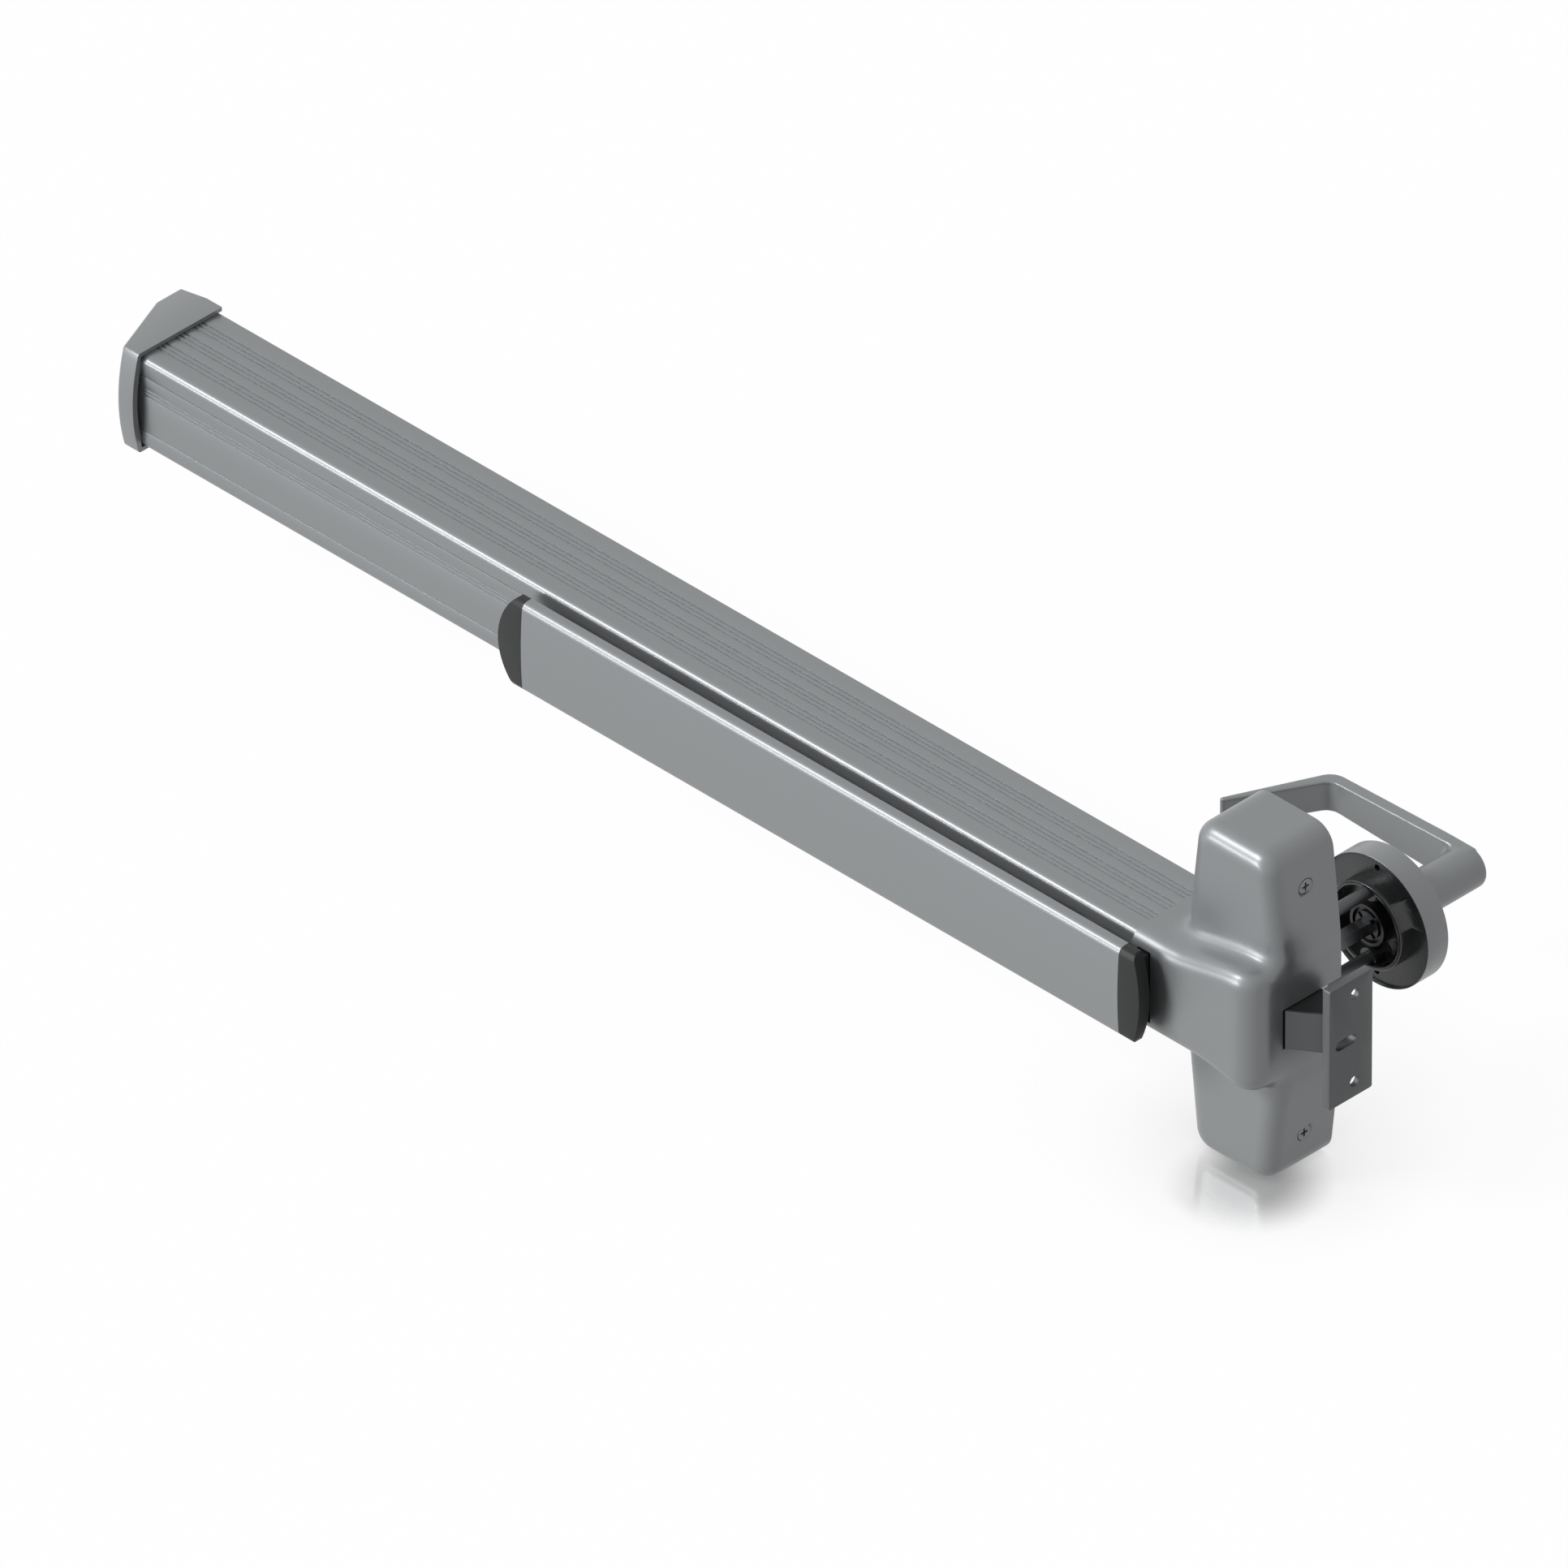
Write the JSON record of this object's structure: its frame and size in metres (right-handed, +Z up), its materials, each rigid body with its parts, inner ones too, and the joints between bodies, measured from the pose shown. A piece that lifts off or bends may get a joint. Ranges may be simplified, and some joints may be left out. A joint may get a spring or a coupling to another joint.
{
  "type": "panic bar",
  "caption": "Touch-bar exit device: a push pad in a long case draws in a bevelled rim latch; with cover, end cap, strike plate and outside lever trim.",
  "frame": {"origin": "on the outside lever's axis, in the plane of the door's inner face, at the middle of the centre case", "axes": "+X along the bar from the hinge end toward the latch and strike, +Y into the door toward the outside, +Z up"},
  "size_m": [0.8813, 0.2113, 0.206],
  "materials": {
    "silver_paint": "satin silver paint",
    "case_aluminium": "satin anodised",
    "pad_aluminium": "satin anodised",
    "black_plastic": "matte black",
    "black_metal": "satin black",
    "latch_steel": "satin",
    "strike_grey": "satin grey",
    "plated_steel": "plated",
    "spring_steel": "plain"
  },
  "bodies": {
    "frame": {"mechanism_case": "case_aluminium", "case_filler": "case_aluminium", "case_screws": "plated_steel", "end_cap": "silver_paint", "end_bracket": "plated_steel", "end_cap_screw": "plated_steel", "crank_bracket_left": "plated_steel", "crank_bracket_right": "plated_steel", "crank_pins": "plated_steel", "crank_springs": "spring_steel", "base_plate": "plated_steel", "center_cover": "silver_paint", "cover_screws": "silver_paint", "latch_guide": "plated_steel", "latch_spring": "spring_steel", "strike_plate": "strike_grey", "rose": "silver_paint", "trim_chassis": "black_metal", "trim_posts": "plated_steel", "trim_screws": "plated_steel", "lever_spring": "spring_steel"},
    "pad": {"touch_pad": "pad_aluminium", "pad_end_left": "black_plastic", "pad_end_right": "black_plastic", "pad_carrier_left": "plated_steel", "pad_carrier_right": "plated_steel", "carrier_pins": "plated_steel"},
    "left_crank": {"crank_left": "plated_steel"},
    "right_crank": {"crank_right": "plated_steel"},
    "link": {"link_rod": "plated_steel", "link_pins": "plated_steel"},
    "latch": {"latch_bolt": "black_metal", "latch_face": "latch_steel"},
    "trim_lever": {"lever": "silver_paint", "drive_hub": "black_metal", "spindle": "spring_steel", "lift_cam": "spring_steel"}
  },
  "joints": [
    {"name": "pad_push", "type": "slide", "parent": "frame", "child": "pad", "axis": [0, 1, 0], "range_m": [0, 0.006], "stiffness_N_per_m": 2000, "springref_m": -0.012},
    {"name": "left_crank_turn", "type": "hinge", "parent": "frame", "child": "left_crank", "pos_m": [-0.42, -0.0524, 0], "axis": [0, 0, 1], "range_deg": [0, 28.51]},
    {"name": "right_crank_turn", "type": "hinge", "parent": "frame", "child": "right_crank", "pos_m": [-0.13, -0.0524, 0], "axis": [0, 0, 1], "range_deg": [0, 28.51]},
    {"name": "link_slide", "type": "slide", "parent": "frame", "child": "link", "axis": [-1, 0, 0], "range_m": [0, 0.019]},
    {"name": "latch_slide", "type": "slide", "parent": "frame", "child": "latch", "axis": [-1, 0, 0], "range_m": [0, 0.019], "deforming": ["latch_spring"]},
    {"name": "lever_turn", "type": "hinge", "parent": "frame", "child": "trim_lever", "pos_m": [0, 0.065, 0], "axis": [0, -1, 0], "range_deg": [0, 45], "stiffness_Nm_per_rad": 0.8, "springref_deg": -34.38}
  ],
  "couplings": [
    {"joint": "left_crank_turn", "follows": "pad_push", "rad_per_m": 82.912},
    {"joint": "right_crank_turn", "follows": "pad_push", "rad_per_m": 82.912},
    {"joint": "link_slide", "follows": "pad_push", "ratio": 3.1666},
    {"joint": "latch_slide", "follows": "pad_push", "ratio": 3.1666}
  ]
}
